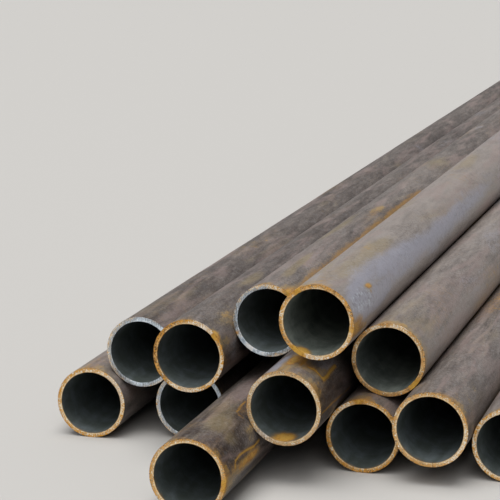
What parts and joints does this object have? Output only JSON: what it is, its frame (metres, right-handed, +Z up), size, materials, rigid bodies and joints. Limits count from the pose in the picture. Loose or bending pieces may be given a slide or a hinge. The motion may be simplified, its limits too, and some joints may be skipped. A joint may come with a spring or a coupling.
{
  "type": "bundle of steel pipes",
  "caption": "Loose stack of uncoated, lightly rusted round steel pipes with saw-cut ends, lying parallel as raw stock.",
  "frame": {"origin": "under the middle of the whole stack, on the floor", "axes": "+Y along the pipes from the near ends to the far ends, +X to the right as seen from the near ends, +Z up"},
  "size_m": [0.336, 3.149, 0.1279],
  "materials": {
    "mill_steel": "dull mill scale, grey-brown with ochre rust at the saw-cut ends and in the valleys"
  },
  "bodies": {
    "root": {"floor_pipe_1": "mill_steel", "floor_pipe_2": "mill_steel", "floor_pipe_3": "mill_steel", "floor_pipe_4": "mill_steel", "floor_pipe_5": "mill_steel", "wedged_pipe": "mill_steel", "second_row_pipe_1": "mill_steel", "second_row_pipe_2": "mill_steel", "second_row_pipe_3": "mill_steel", "second_row_pipe_4": "mill_steel", "third_row_pipe": "mill_steel", "top_pipe": "mill_steel"}
  },
  "joints": []
}
